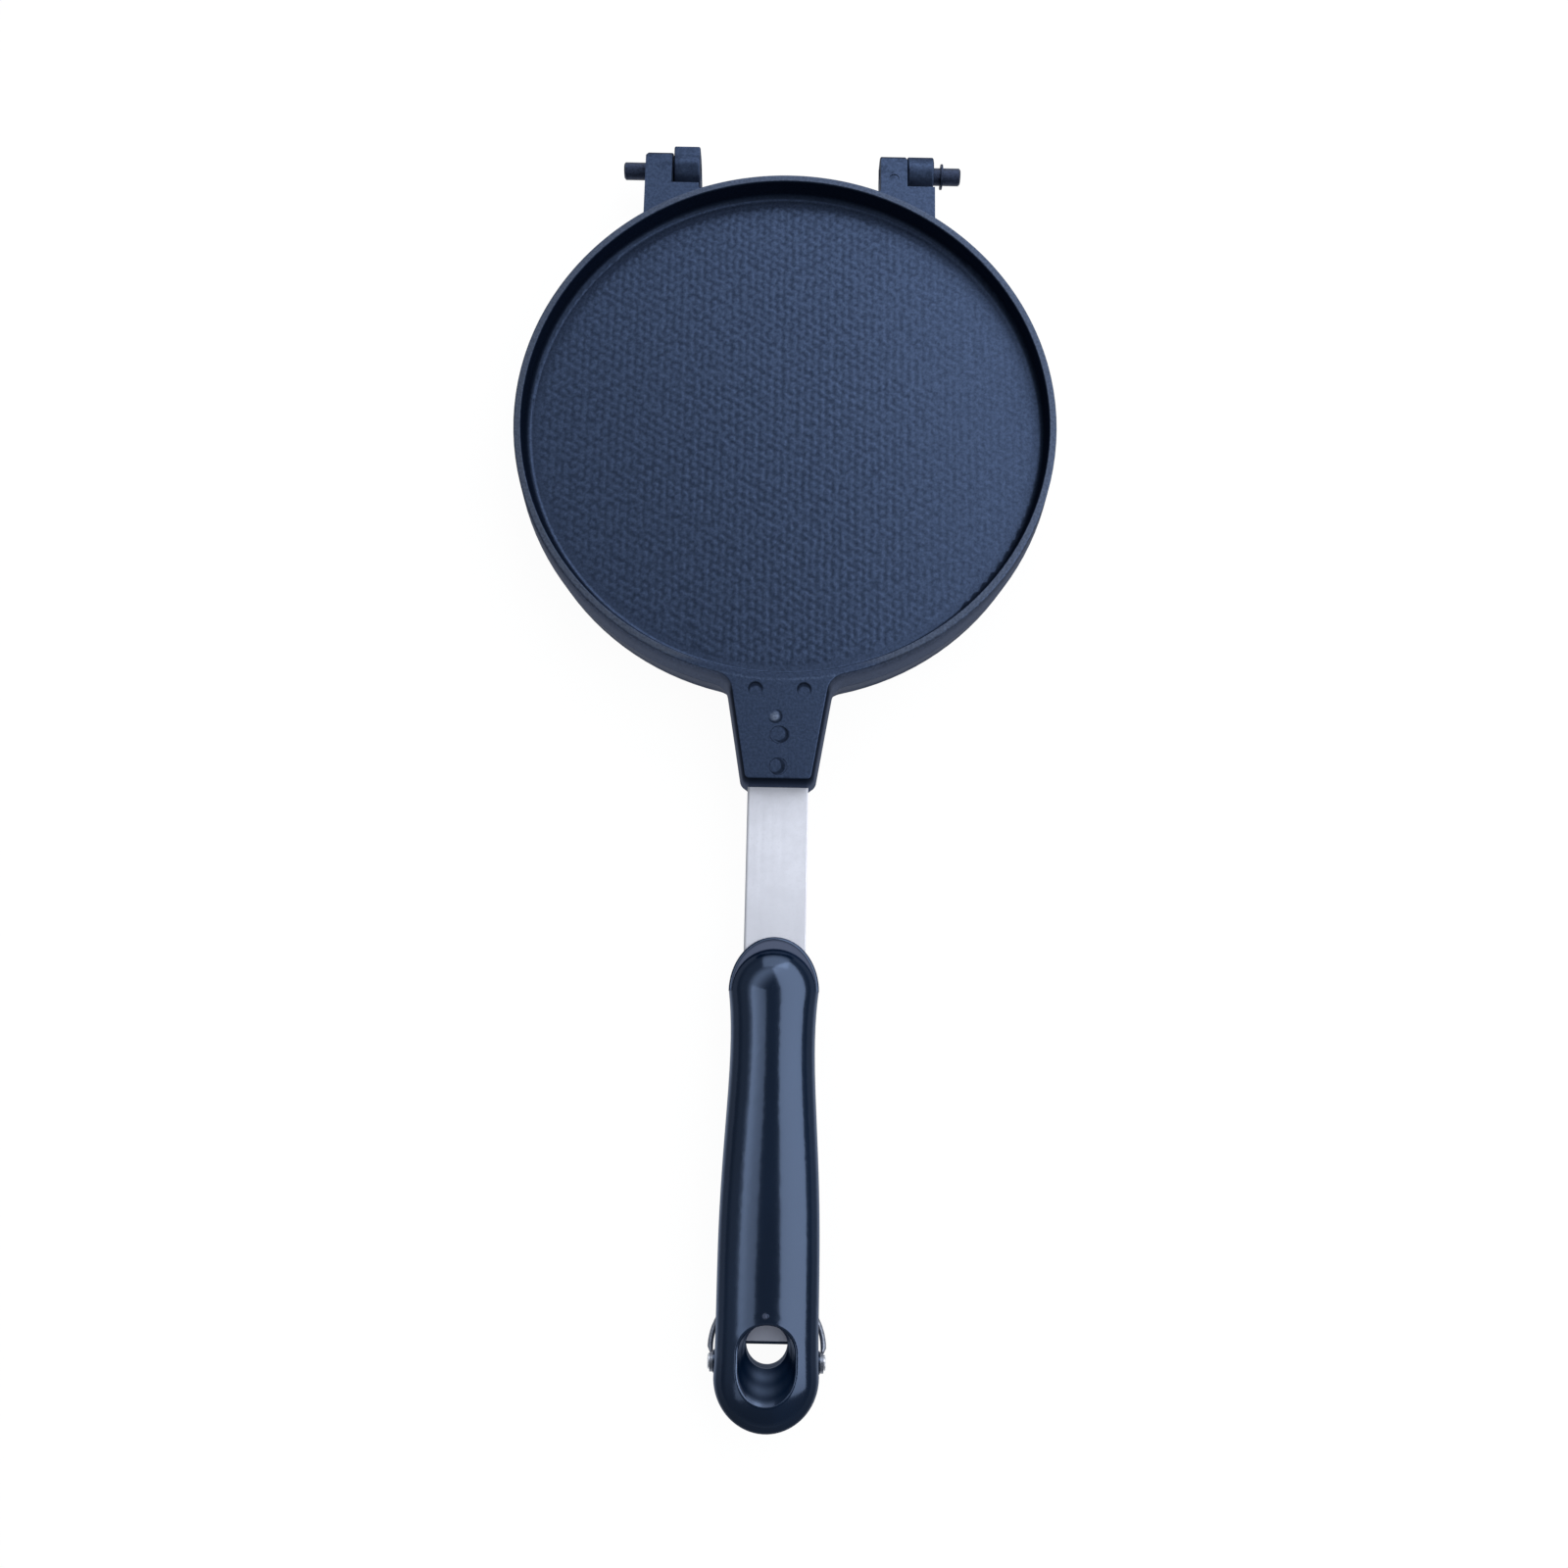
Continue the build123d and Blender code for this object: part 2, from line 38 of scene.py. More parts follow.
# Shader sums are written as plain expressions on this small wrapper
class Signal:
    def __init__(self, tree, socket=None):
        self.tree = tree
        self.socket = socket

    def node(self, kind, settings=None, values=None, out=0):
        made = self.tree.nodes.new(kind)
        for key, value in (settings or {}).items():
            setattr(made, key, value)
        for key, value in (values or {}).items():
            if isinstance(value, Signal):
                self.tree.links.new(value.socket, made.inputs[key])
            else:
                made.inputs[key].default_value = value
        return Signal(self.tree, made.outputs[out] if len(made.outputs) else None)

    def maths(self, operation, first, second=0.0):
        return self.node("ShaderNodeMath", {"operation": operation}, {0: first, 1: second})

    def __add__(self, other):
        return self.maths("ADD", self, other)

    def __radd__(self, other):
        return self.maths("ADD", other, self)

    def __sub__(self, other):
        return self.maths("SUBTRACT", self, other)

    def __rsub__(self, other):
        return self.maths("SUBTRACT", other, self)

    def __mul__(self, other):
        return self.maths("MULTIPLY", self, other)

    def __rmul__(self, other):
        return self.maths("MULTIPLY", other, self)

    def __truediv__(self, other):
        return self.maths("DIVIDE", self, other)

    def __pow__(self, other):
        return self.maths("POWER", self, other)

    def size(self):
        return self.maths("ABSOLUTE", self)

    def highest(self, other):
        return self.maths("MAXIMUM", self, other)

    def lowest(self, other):
        return self.maths("MINIMUM", self, other)

    def scaled(self, base, gain):  # a plain part and a part that follows this signal
        return base + self * gain

    def rise(self, start, end):  # 0 before start, 1 after end, soft between
        settings = {"interpolation_type": "SMOOTHSTEP"}
        values = {"Value": self, "From Min": start, "From Max": end, "To Min": 0.0, "To Max": 1.0}
        return self.node("ShaderNodeMapRange", settings, values)

    def riseMm(self, start, end):  # the same between two places given in mm
        return self.rise(start * mm, end * mm)


def newMaterial(name):
    made = bpy.data.materials.new(name)
    made.use_nodes = True
    made.node_tree.nodes.clear()
    return made, Signal(made.node_tree)


def axesOf(sig, vector):
    parts = sig.tree.nodes.new("ShaderNodeSeparateXYZ")
    sig.tree.links.new(vector.socket, parts.inputs[0])
    return [Signal(sig.tree, parts.outputs[axis]) for axis in range(3)]


def objectPlace(sig):
    coords = sig.node("ShaderNodeTexCoord", out=3)
    return coords, axesOf(sig, coords)


def wave(turns):
    return turns.maths("COSINE", turns * (2 * math.pi))


def noise(sig, coords, scale, detail=2.0, rough=0.5, stretch=(1, 1, 1)):
    placed = sig.node("ShaderNodeVectorMath", {"operation": "MULTIPLY"}, {0: coords, 1: stretch})
    values = {"Vector": placed, "Scale": scale, "Detail": detail, "Roughness": rough}
    return sig.node("ShaderNodeTexNoise", {"noise_dimensions": "3D"}, values)


def blendColour(sig, amount, first, second):
    made = sig.tree.nodes.new("ShaderNodeMix")
    made.data_type = "RGBA"
    for index, value in ((0, amount), (6, first), (7, second)):
        if isinstance(value, Signal):
            sig.tree.links.new(value.socket, made.inputs[index])
        elif index:
            made.inputs[index].default_value = (*value, 1.0)
        else:
            made.inputs[index].default_value = value
    return Signal(sig.tree, made.outputs[2])


def principled(sig, values, height, strength, depth):
    shader = sig.node("ShaderNodeBsdfPrincipled", {}, values)
    bump = sig.node("ShaderNodeBump", {}, {"Strength": strength, "Distance": depth, "Height": height})
    sig.tree.links.new(bump.socket, shader.socket.node.inputs["Normal"])
    return shader


def finishSurface(sig, body, gloss, share, height, bump):
    # A dull body under a thin glossy skin: the skin's share is the mix between the two
    under = principled(sig, body, height, *bump)
    over = principled(sig, gloss, height, *bump)
    both = sig.node("ShaderNodeMixShader", {}, {0: share, 1: under, 2: over})
    sig.node("ShaderNodeOutputMaterial", {}, {"Surface": both})


def times(colour, amount):
    return tuple(part * amount for part in colour)


def grey(amount):
    return (amount, amount, amount, 1.0)


def spot(x, y, middle, radius, soft=0.4):
    # 1 inside a round place given in mm, 0 outside it
    across, along = x - middle[0] * mm, y - middle[1] * mm
    return ((across * across + along * along) ** 0.5).riseMm(radius, radius - soft)


def crescent(x, y, middle, radius, shift, thinner=0.3, soft=0.7):
    # Shadow along one side of a round mark, away from the shift
    inner = spot(x, y, (middle[0] + shift[0], middle[1] + shift[1]), radius - thinner, soft)
    return spot(x, y, middle, radius) * (1.0 - inner)


def facingUp(sig):
    # 1 on level faces, 0 on upright walls, in the piece's own axes
    return axesOf(sig, sig.node("ShaderNodeTexCoord", out=1))[2].size()


# Dark non-stick coating on the castings, with places, radii and shifts in mm
coating = {
    "base": (0.0045, 0.0074, 0.0150),
    # thicker coat where it pools, and the painted shade in the relief's hollows
    "thickCoatAndShade": (0.0026, 0.0046, 0.0098),
    # painted shade of walls and beside round marks, also the tone of fettled blotches
    "shade": (0.0016, 0.0032, 0.0072),
    "worn": (0.018, 0.024, 0.037),
    "rubbed": (0.040, 0.043, 0.047),
    "bare": (0.16, 0.18, 0.21),
    # painted reflection of the floor on walls near the parting plane
    "wall": (0.022, 0.032, 0.060),
    "skin": (0.38, 0.55, 1.0, 1.0),
    "skinShare": 0.072,
    "skinParts": (0.72, 0.46, 0.16),  # plain, by mottle, by grain
    "rough": 0.38,
    "roughParts": (0.1, 0.06),  # by grain, by cloud
    "underRough": 0.6,
    "cloud": (22.0, 3.0),  # noises: scale, detail, roughness
    "mottle": (1150.0, 3.0, 0.6),
    "grain": (2600.0, 2.0, 0.7),
    "speck": (900.0, 1.0),
    "cloudSpan": (0.4, 0.8),
    "mottleSpan": (0.3, 0.7),
    "speckSpan": (0.6, 0.75),
    "cloudTone": 0.5,
    "speckTone": 0.35,
    "mottleHeight": 0.8,
    "bump": (0.3, 0.00006),  # strength, and depth in m
    "hollowShade": 0.5,
    "hollowShare": (1.13, -0.46),
    # Outer walls, painted in shade and with a painted reflection near the parting plane: how far from
    # the middle or from the parting plane
    "outside": (91.0, 92.5),
    "levelInside": (0.86, 0.995),  # how far a face looks up
    "levelOutside": (0.3, 0.9),
    "steep": (0.35, 0.1),
    "wallLight": (12.5, 5.0),
    "paintedWallShade": 0.8,
    "wallShare": (0.36, 0.64, 0.35),  # everywhere, on level faces, on steep ones
    "wallSheen": (0.03, 0.1),  # everywhere, near the parting plane
    "sheenRough": 0.34,
    "flankStart": (95.0, 98.0),
    "flankDark": (3.0, 9.0),
    "flankDepth": 0.85,
    # Marks of the mould and of use, with painted shadows beside the round marks
    "pip": (-1.3, -105.5),
    "pipSize": (2.1, 1.7),  # radius, soft edge
    "pipShadow": (2.6, (-0.7, 0.4)),  # radius, shift
    "pipTone": (0.25, 0.5),
    "pipHeight": 4.0,
    "rivets": ((0.7, -111.6), (-0.5, -122.2)),
    "rivetShadow": (2.9, (-0.9, 0.3)),
    "ejectors": ((-8.0, -96.2), (8.0, -96.2)),
    "ejectorShadow": (2.7, (0.0, -1.1)),
    "shadowTone": 0.85,
    "shadowShare": 0.8,
    "shadowDepth": 2.0,
    "lugs": (93.0, 97.0),
    "blotch": (300.0, 3.0, 0.6),
    "blotchSpan": (0.45, 0.7),
    "blotchTone": 0.45,
    "rimInner": (90.6, 90.9),
    "rimOuter": (93.3, 92.9),
    "rimTone": (0.55, 0.4),
    "rimShare": 0.12,
    "tangEnd": (-88.5, -84.0),
    "edgeInner": (92.2, 92.9),
    "edgeOuter": (93.4, 93.1),
    "edgeTone": 0.8,
    "edgeWear": (0.35, 0.5),
    "wearShare": 0.5,
}


def coatingMaterial(name, hollows=False):
    made, sig = newMaterial(name)
    coords, (x, y, z) = objectPlace(sig)
    upward = facingUp(sig)
    radius = (x * x + y * y) ** 0.5
    outside = radius.riseMm(*coating["outside"])
    hollowed = upward.rise(*coating["levelInside"])
    level = hollowed + (upward.rise(*coating["levelOutside"]) - hollowed) * outside
    cloud = noise(sig, coords, *coating["cloud"])
    mottle = noise(sig, coords, *coating["mottle"]).rise(*coating["mottleSpan"])
    grain = noise(sig, coords, *coating["grain"])
    speck = noise(sig, coords, *coating["speck"])
    clouded = cloud.rise(*coating["cloudSpan"]) * coating["cloudTone"]
    tone = blendColour(sig, clouded, coating["base"], coating["thickCoatAndShade"])
    specked = speck.rise(*coating["speckSpan"]) * coating["speckTone"]
    tone = blendColour(sig, specked, tone, coating["worn"])
    byGrain, byCloud = coating["roughParts"]
    rough = coating["rough"] + (grain - 0.5) * byGrain + (cloud - 0.5) * byCloud
    plain, byMottle, byGrain = coating["skinParts"]
    share = coating["skinShare"] * (plain + mottle * byMottle + grain * byGrain)
    height = grain + mottle * coating["mottleHeight"]
    if hollows:
        # The relief's hollows are painted darker as painted shade, and are less glossy
        depth = sig.node("ShaderNodeAttribute", {"attribute_name": "hollow"}, {}, 2)
        tone = blendColour(sig, depth * coating["hollowShade"], tone, coating["thickCoatAndShade"])
        share = share * depth.scaled(*coating["hollowShare"])
    else:
        # Marks of the mould on the tang, the same on both castings, each round mark with a painted
        # shadow along one side
        side = z - parting
        mirrored = x * side.maths("SIGN", side)
        pip = spot(mirrored, y, coating["pip"], *coating["pipSize"])
        shadowsAndBlotches = crescent(mirrored, y, coating["pip"], *coating["pipShadow"]) * (1.0 - pip)
        for middle in coating["rivets"]:
            shadowsAndBlotches = shadowsAndBlotches.highest(crescent(mirrored, y, middle, *coating["rivetShadow"]))
        for middle in coating["ejectors"]:
            shadowsAndBlotches = shadowsAndBlotches.highest(crescent(mirrored, y, middle, *coating["ejectorShadow"]))
        # Blotches where the lugs were fettled take the same dark tone as the painted shadows
        lugs = y.riseMm(*coating["lugs"])
        blotch = noise(sig, coords, *coating["blotch"]).rise(*coating["blotchSpan"])
        shadowsAndBlotches = (shadowsAndBlotches * coating["shadowTone"]).highest(blotch * lugs * coating["blotchTone"])
        # The flat of the rim is rubbed paler, and its outer edge is worn
        rim = radius.riseMm(*coating["rimInner"]) * radius.riseMm(*coating["rimOuter"])
        rim = rim * y.riseMm(*coating["tangEnd"])
        edge = radius.riseMm(*coating["edgeInner"]) * radius.riseMm(*coating["edgeOuter"])
        wear = (edge * mottle.scaled(*coating["edgeWear"]) + pip).lowest(1.0)
        tone = blendColour(sig, rim * mottle.scaled(*coating["rimTone"]), tone, coating["rubbed"])
        tone = blendColour(sig, edge * mottle * coating["edgeTone"], tone, coating["worn"])
        tone = blendColour(sig, pip * mottle.scaled(*coating["pipTone"]), tone, coating["bare"])
        tone = blendColour(sig, shadowsAndBlotches, tone, coating["shade"])
        share = share * (1.0 - rim * coating["rimShare"])
        share = share * (1.0 - shadowsAndBlotches * coating["shadowShare"]) * (1.0 + wear * coating["wearShare"])
        height = height + pip * coating["pipHeight"] - shadowsAndBlotches * coating["shadowDepth"]
    # Upright walls are painted in shade, and painted paler towards the parting plane as a painted
    # reflection of what the pan stands on
    fromParting = (z - parting).size()
    low = fromParting.riseMm(*coating["wallLight"]) * outside
    paintedWallShade = blendColour(sig, low, coating["shade"], coating["wall"])
    tone = blendColour(sig, (1.0 - level) * coating["paintedWallShade"], tone, paintedWallShade)
    plain, onLevel, onSteep = coating["wallShare"]
    share = share * (plain + level * onLevel + upward.rise(*coating["steep"]) * outside * onSteep)
    plain, nearParting = coating["wallSheen"]
    sheen = (1.0 - level) * (outside * plain + low * nearParting)
    # The flanks of the tang and the lugs are dark along their upper edges
    flank = radius.riseMm(*coating["flankStart"]) * fromParting.riseMm(*coating["flankDark"])
    lit = 1.0 - (1.0 - level) * flank * coating["flankDepth"]
    share, sheen = share * lit, sheen * lit
    body = {"Base Color": tone, "Roughness": coating["underRough"], "Specular IOR Level": 0.0}
    body.update({"Coat Weight": sheen, "Coat Roughness": coating["sheenRough"]})
    gloss = {"Base Color": coating["skin"], "Metallic": 1.0, "Roughness": rough}
    finishSurface(sig, body, gloss, share, height, coating["bump"])
    return made


# Glossy moulded plastic of the handles, with places and radii in mm
moulding = {
    "base": (0.0006, 0.0038, 0.0120),
    "flowShade": 1.4,
    # tone of the painted highlights on the nose lip, the nib and the mouth's edge
    "paintedHighlight": (0.090, 0.106, 0.160),
    "skin": (0.49, 0.65, 1.0, 1.0),
    "skinShare": 0.092,
    "flowShare": (0.94, 0.12),
    "rough": 0.15,
    "roughParts": (0.06, 0.04, 0.2),  # by flow, by fine grain, inside the mouth
    "underRough": 0.5,
    "flow": (60.0, 2.0, 0.5, (1, 0.25, 1)),  # noises: scale, detail, roughness, stretch
    "flowSpan": (0.4, 0.7),
    "fine": (1400.0, 2.0),
    "bump": (0.06, 0.0002),
    "flankFrom": (0.42, 0.58),  # how far a face looks up
    "flankTo": (0.84, 0.74),
    "flankShare": 0.62,
    "steep": (0.5, 0.3),
    "steepShare": 1.2,
    "tail": (-323.0, -304.0),
    "tailShare": (0.5, 0.5),
    # Mouth of the hanging hole, nib and nose
    "tailMiddle": -310.8,
    "halfWidth": 16.1,
    "crown": 10.0,
    "crownFoot": 1.35,
    "mouthStart": (-285.0, -290.0),
    "mouthDepth": (0.7, 2.0),
    "mouthShare": (0.70, -0.38),
    "ring": 2.5,
    "arcInner": (0.1, 0.3),
    "arcOuter": (1.3, 0.7),
    "arcSide": (5.0, -2.0),
    "arcStart": (-300.0, -306.0),
    "arcLevel": (0.4, 0.6),
    "arcTone": 0.22,
    "arcShare": 0.4,
    "nib": (-0.6, -291.5),
    "nibSize": (1.1, 0.6),  # radius, soft edge
    "nibTone": 0.6,
    "noseMiddle": -194.1,
    "noseRadius": 14.5,
    "noseStretch": 0.838,
    "lipInner": (12.9, 13.8),
    "lipOuter": (0.97, 0.90),  # in nose radii
    "lipHeight": (5.6, 5.3),
    "lipLevel": (0.8, 0.95),
    "lipTone": 0.8,
}


def mouldingMaterial():
    made, sig = newMaterial("glossyMoulding")
    coords, (x, y, z) = objectPlace(sig)
    level = facingUp(sig)
    flank = level.rise(*moulding["flankFrom"]) * level.rise(*moulding["flankTo"])
    flow = noise(sig, coords, *moulding["flow"])
    fine = noise(sig, coords, *moulding["fine"])
    side = (z - parting).size()
    # Inside the mouth of the hanging hole the surface is dull, with faint rings from the tool
    behind = (y - moulding["tailMiddle"] * mm).lowest(0.0)
    across = (x * x + behind * behind) / (moulding["halfWidth"] * mm) ** 2
    crown = (1.0 - across.lowest(1.0)) ** 0.5 * moulding["crown"] * mm
    gap = crown + moulding["crownFoot"] * mm - side
    sunk = gap.riseMm(*moulding["mouthDepth"]) * y.riseMm(*moulding["mouthStart"])
    rings = wave(side / (moulding["ring"] * mm)) * 0.5 + 0.5
    # A painted highlight runs along the mouth's edge on the left, and another lies on the small nib
    # next to it
    arc = gap.riseMm(*moulding["arcInner"]) * gap.riseMm(*moulding["arcOuter"])
    arc = arc * x.riseMm(*moulding["arcSide"]) * y.riseMm(*moulding["arcStart"])
    arc = arc * level.rise(*moulding["arcLevel"])
    nib = spot(x, y, moulding["nib"], *moulding["nibSize"])
    # A painted highlight runs along the flat lip at the nose
    along = y - moulding["noseMiddle"] * mm
    far = (x * x + along * along) ** 0.5
    stretched = along * moulding["noseStretch"]
    oval = (x * x + stretched * stretched) ** 0.5 / (moulding["noseRadius"] * mm)
    lip = level.rise(*moulding["lipLevel"]) * side.riseMm(*moulding["lipHeight"])
    lip = lip * far.riseMm(*moulding["lipInner"]) * oval.rise(*moulding["lipOuter"])
    byFlow, byFine, byMouth = moulding["roughParts"]
    rough = moulding["rough"] + (flow - 0.5) * byFlow + (fine - 0.5) * byFine + sunk * byMouth
    paler = times(moulding["base"], moulding["flowShade"])
    tone = blendColour(sig, flow.rise(*moulding["flowSpan"]), moulding["base"], paler)
    # Painted highlights on the lip, the nib and the mouth's edge
    paintedHighlights = (lip * moulding["lipTone"]).highest(nib * moulding["nibTone"])
    paintedHighlights = paintedHighlights.highest(arc * moulding["arcTone"])
    tone = blendColour(sig, paintedHighlights, tone, moulding["paintedHighlight"])
    share = moulding["skinShare"] * flow.scaled(*moulding["flowShare"])
    share = share * (1.0 - sunk * rings.scaled(*moulding["mouthShare"]))
    share = share * (1.0 - flank * moulding["flankShare"])
    steep = level.rise(*moulding["steep"]) * moulding["steepShare"]
    share = share * (1.0 + arc * moulding["arcShare"] + steep)
    share = share * y.riseMm(*moulding["tail"]).scaled(*moulding["tailShare"])
    body = {"Base Color": tone, "Roughness": moulding["underRough"], "Specular IOR Level": 0.0}
    gloss = {"Base Color": moulding["skin"], "Metallic": 1.0, "Roughness": rough}
    finishSurface(sig, body, gloss, share, flow, moulding["bump"])
    return made


# Rolled flat steel of the straps: places in mm, and each shade as a part of the base
rolled = {
    "base": (0.70, 0.71, 0.785),
    # painted shade where the strap lies inside the hanging hole
    "inside": (0.13, 0.145, 0.205),
    "insideTone": 0.75,
    "mouth": (-280.0, -288.0),
    "metal": 0.6,
    "rough": 0.42,
    "roughParts": (0.14, 0.1),  # by lines, by cloud
    "lines": (900.0, 3.0, 0.6, (1, 0.02, 1)),  # noises: scale, detail, roughness, stretch
    "cloud": (120.0, 4.0, 0.6),
    "cloudSpan": (0.3, 0.7),
    "cloudShade": 0.90,
    "fine": (1000.0, 2.0, 0.6),
    "fineSpan": (0.5, 0.75),
    "fineShade": 0.86,
    "fineTone": 0.5,
    # painted shadow on the strap towards the handle's nose
    "near": (-155.0, -176.0),
    "nearShade": 0.8,
    "nearTone": 0.55,
    # painted shade along the left edge of the upper strap
    "edge": (-9.0, -9.7),
    "edgeHeight": (0.0, 1.0),
    "edgeShade": 0.32,
    "edgeTone": 0.75,
    "bump": (0.25, 0.00002),
}


def rolledMaterial():
    made, sig = newMaterial("rolledSteel")
    coords, (x, y, z) = objectPlace(sig)
    base = rolled["base"]
    lines = noise(sig, coords, *rolled["lines"])
    cloud = noise(sig, coords, *rolled["cloud"])
    fine = noise(sig, coords, *rolled["fine"])
    byLines, byCloud = rolled["roughParts"]
    rough = rolled["rough"] + (lines - 0.5) * byLines + (cloud - 0.5) * byCloud
    tone = blendColour(sig, cloud.rise(*rolled["cloudSpan"]), base, times(base, rolled["cloudShade"]))
    pitted = fine.rise(*rolled["fineSpan"]) * rolled["fineTone"]
    tone = blendColour(sig, pitted, tone, times(base, rolled["fineShade"]))
    # Painted shadow towards the handle's nose
    near = y.riseMm(*rolled["near"]) * rolled["nearTone"]
    tone = blendColour(sig, near, tone, times(base, rolled["nearShade"]))
    # A painted shade line along the left edge of the upper strap
    edge = x.riseMm(*rolled["edge"]) * (z - parting).riseMm(*rolled["edgeHeight"])
    tone = blendColour(sig, edge * rolled["edgeTone"], tone, times(base, rolled["edgeShade"]))
    # Painted shade where the strap shows inside the hanging hole
    tone = blendColour(sig, y.riseMm(*rolled["mouth"]) * rolled["insideTone"], tone, rolled["inside"])
    values = {"Base Color": tone, "Metallic": rolled["metal"], "Roughness": rough}
    shader = principled(sig, values, lines, *rolled["bump"])
    sig.node("ShaderNodeOutputMaterial", {}, {"Surface": shader})
    return made


# Dulled steel of the pins and the clip, bright stub rivets, drawn wire of the bail
steel = {
    "kinds": {  # name: (tone, roughness)
        "dulledSteel": ((0.030, 0.042, 0.080), 0.5),
        "brightRivets": ((0.66, 0.68, 0.74), 0.28),
        "drawnWire": ((0.20, 0.22, 0.27), 0.32),
    },
    "pits": (1500.0, 2.0),
    "pitSpan": (0.4, 0.7),
    "pitShade": 0.6,
    "rings": (700.0, 2.0, 0.5, (1, 0.15, 0.15)),
    "ringRough": 0.2,
    "metal": 0.85,
    "bump": (0.3, 0.00005),
}


def steelMaterial(name):
    made, sig = newMaterial(name)
    base, rough = steel["kinds"][name]
    coords = objectPlace(sig)[0]
    pits = noise(sig, coords, *steel["pits"])
    rings = noise(sig, coords, *steel["rings"])
    tone = blendColour(sig, pits.rise(*steel["pitSpan"]), base, times(base, steel["pitShade"]))
    rough = rough + (rings - 0.5) * steel["ringRough"]
    values = {"Base Color": tone, "Metallic": steel["metal"], "Roughness": rough}
    shader = principled(sig, values, pits, *steel["bump"])
    sig.node("ShaderNodeOutputMaterial", {}, {"Surface": shader})
    return made


coatingLook = coatingMaterial("blueBlackCoating")
reliefLook = coatingMaterial("blueBlackRelief", hollows=True)
mouldingLook = mouldingMaterial()
rolledLook = rolledMaterial()
dulledLook, brightLook, wireLook = [steelMaterial(kind) for kind in steel["kinds"]]
looks = {
    "left_hinge_pin": dulledLook,
    "right_hinge_pin": dulledLook,
    "pin_clip": dulledLook,
    "upper_strap": rolledLook,
    "lower_strap": rolledLook,
    "upper_handle": mouldingLook,
    "lower_handle": mouldingLook,
    "bail": wireLook,
    "bail_rivet_left": brightLook,
    "bail_rivet_right": brightLook,
}
for name, node in nodes.items():
    node.data.materials.clear()
    node.data.materials.append(looks.get(name, coatingLook))
print("materials:", len(bpy.data.materials))

# Cast relief on the outer faces: ridges in staggered columns that run together along one slant
relief = {
    "inputs": {  # of its tree
        "Radius": 87.0 * mm,
        "Fade": 2.4 * mm,
        "Spacing": 0.52 * mm,
        "Column Pitch": 2.6 * mm,
        "Row Pitch": 2.95 * mm,
        "Ridge Height": 0.14 * mm,
        "Floor": 18.0 * mm,
        "Drift": 1.3 * mm,
        "Seed": 7,
    },
    "driftX": (70.0, 2.0),  # noises: scale, detail, roughness, stretch
    "driftY": (90.0, 2.0, 0.5, (1, 1, 1.3)),
    "uneven": (430.0, 2.0),
    "streaks": (760.0, 2.0, 0.5, (1, 0.6, 1)),
    "waves": (0.8, 0.77, 0.35),  # columns, slant, counter slant
    "wavePart": 0.42,
    "unevenPart": 1.4,
    "streakPart": 1.5,
    "least": 0.1,
    "lowSide": (0.1, 0.5),  # start in radii, loss of height
    "sink": 0.03,  # in mm, under the recess at the edge
    "hollow": (0.66, 0.2),
}


